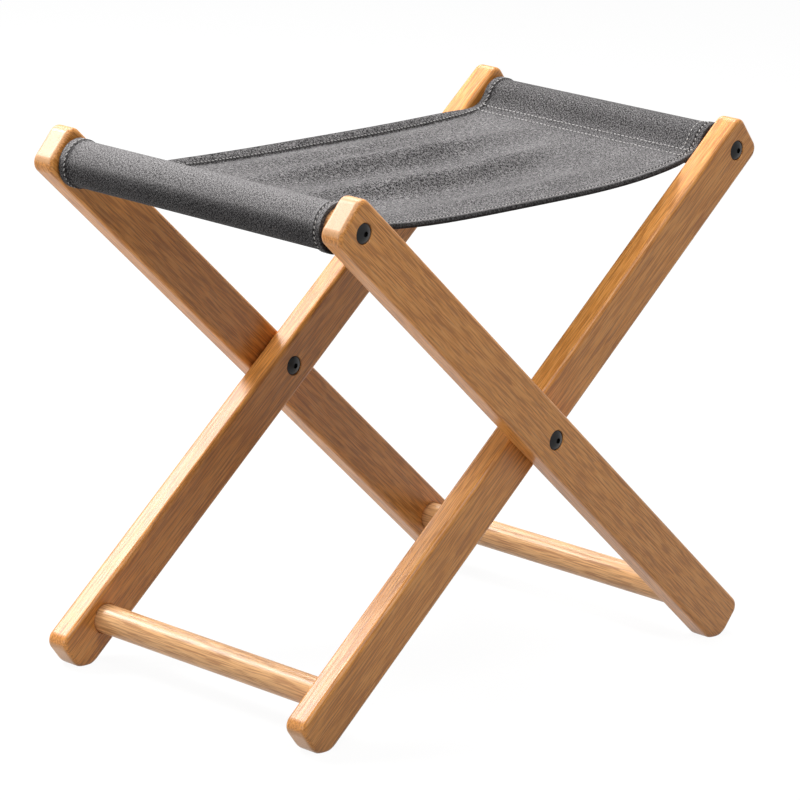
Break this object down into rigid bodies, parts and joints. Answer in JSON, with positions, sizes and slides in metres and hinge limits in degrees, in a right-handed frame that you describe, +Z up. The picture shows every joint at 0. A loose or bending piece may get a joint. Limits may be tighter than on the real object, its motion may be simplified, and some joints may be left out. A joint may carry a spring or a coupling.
{
  "type": "folding stool",
  "caption": "Folding stool with crossed wooden leg frames, pivot bolts, round rails and stretchers, and a slung cloth seat.",
  "frame": {"origin": "on the floor under the middle of the pivot line, midway between the feet", "axes": "+X from the outer frame's top rail to the inner frame's top rail, +Y along the rails from the near side to the far side, +Z up"},
  "size_m": [0.5024, 0.3148, 0.4165],
  "materials": {
    "beech": "light beech, clear satin oil",
    "dowel": "pale beech dowel, clear satin oil",
    "black_steel": "black satin coating",
    "zinc": "zinc plated",
    "brass": "plain",
    "canvas": "charcoal melange canvas with light grey stitching"
  },
  "bodies": {
    "outer_frame": {"outer_leg_near": "beech", "outer_leg_far": "beech", "outer_top_rail": "dowel", "outer_stretcher": "dowel", "pivot_bolt_near": "black_steel", "pivot_bolt_far": "black_steel", "pivot_nut_near": "black_steel", "pivot_nut_far": "black_steel", "pivot_washer_near": "zinc", "pivot_washer_far": "zinc", "outer_rail_bolt_near": "black_steel", "outer_rail_bolt_far": "black_steel", "outer_rail_insert_near": "brass", "outer_rail_insert_far": "brass", "outer_sleeve": "canvas", "seat_panel": "canvas"},
    "inner_frame": {"inner_leg_near": "beech", "inner_leg_far": "beech", "inner_top_rail": "dowel", "inner_stretcher": "dowel", "inner_rail_bolt_near": "black_steel", "inner_rail_bolt_far": "black_steel", "inner_rail_insert_near": "brass", "inner_rail_insert_far": "brass", "inner_sleeve": "canvas"}
  },
  "joints": [
    {"name": "fold", "type": "hinge", "parent": "outer_frame", "child": "inner_frame", "pos_m": [0, 0, 0.20173], "axis": [0, -1, 0], "range_deg": [0, 91]}
  ]
}
